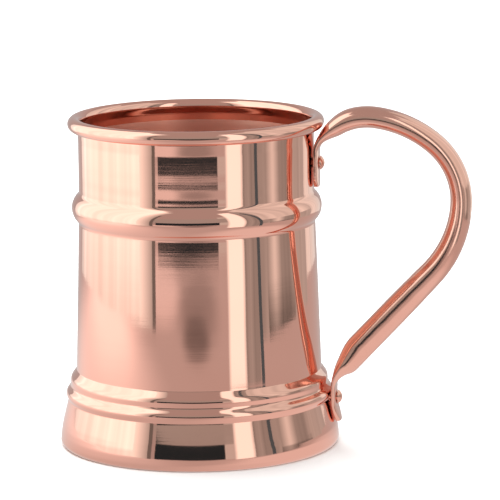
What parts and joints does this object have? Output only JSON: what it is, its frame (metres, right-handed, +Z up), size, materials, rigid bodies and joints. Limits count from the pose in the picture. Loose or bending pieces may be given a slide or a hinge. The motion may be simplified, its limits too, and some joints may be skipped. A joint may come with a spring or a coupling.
{
  "type": "drinking mug",
  "caption": "Straight-sided copper tankard with a rolled rim, beaded wall, stepped flared foot and a riveted bent-tube handle.",
  "frame": {"origin": "on the mug's axis at the table plane, the centre of the floor disc's underside", "axes": "+Z up along the mug's axis, +X from the axis towards the handle, +Y completes a right-handed frame"},
  "size_m": [0.143, 0.0966, 0.1175],
  "materials": {
    "polished_copper": "mirror-polished solid copper",
    "handle_copper": "polished copper tube",
    "satin_copper": "satin copper with turning marks",
    "rivet_copper": "polished copper rivet",
    "wire_copper": "plain drawn copper wire",
    "solder": "wiped tin solder"
  },
  "bodies": {
    "root": {"body_shell": "polished_copper", "rim_wire": "wire_copper", "bottom_disc": "satin_copper", "seam_solder_ring": "solder", "handle_tube": "handle_copper", "upper_rivet": "rivet_copper", "lower_rivet": "rivet_copper"}
  },
  "joints": []
}
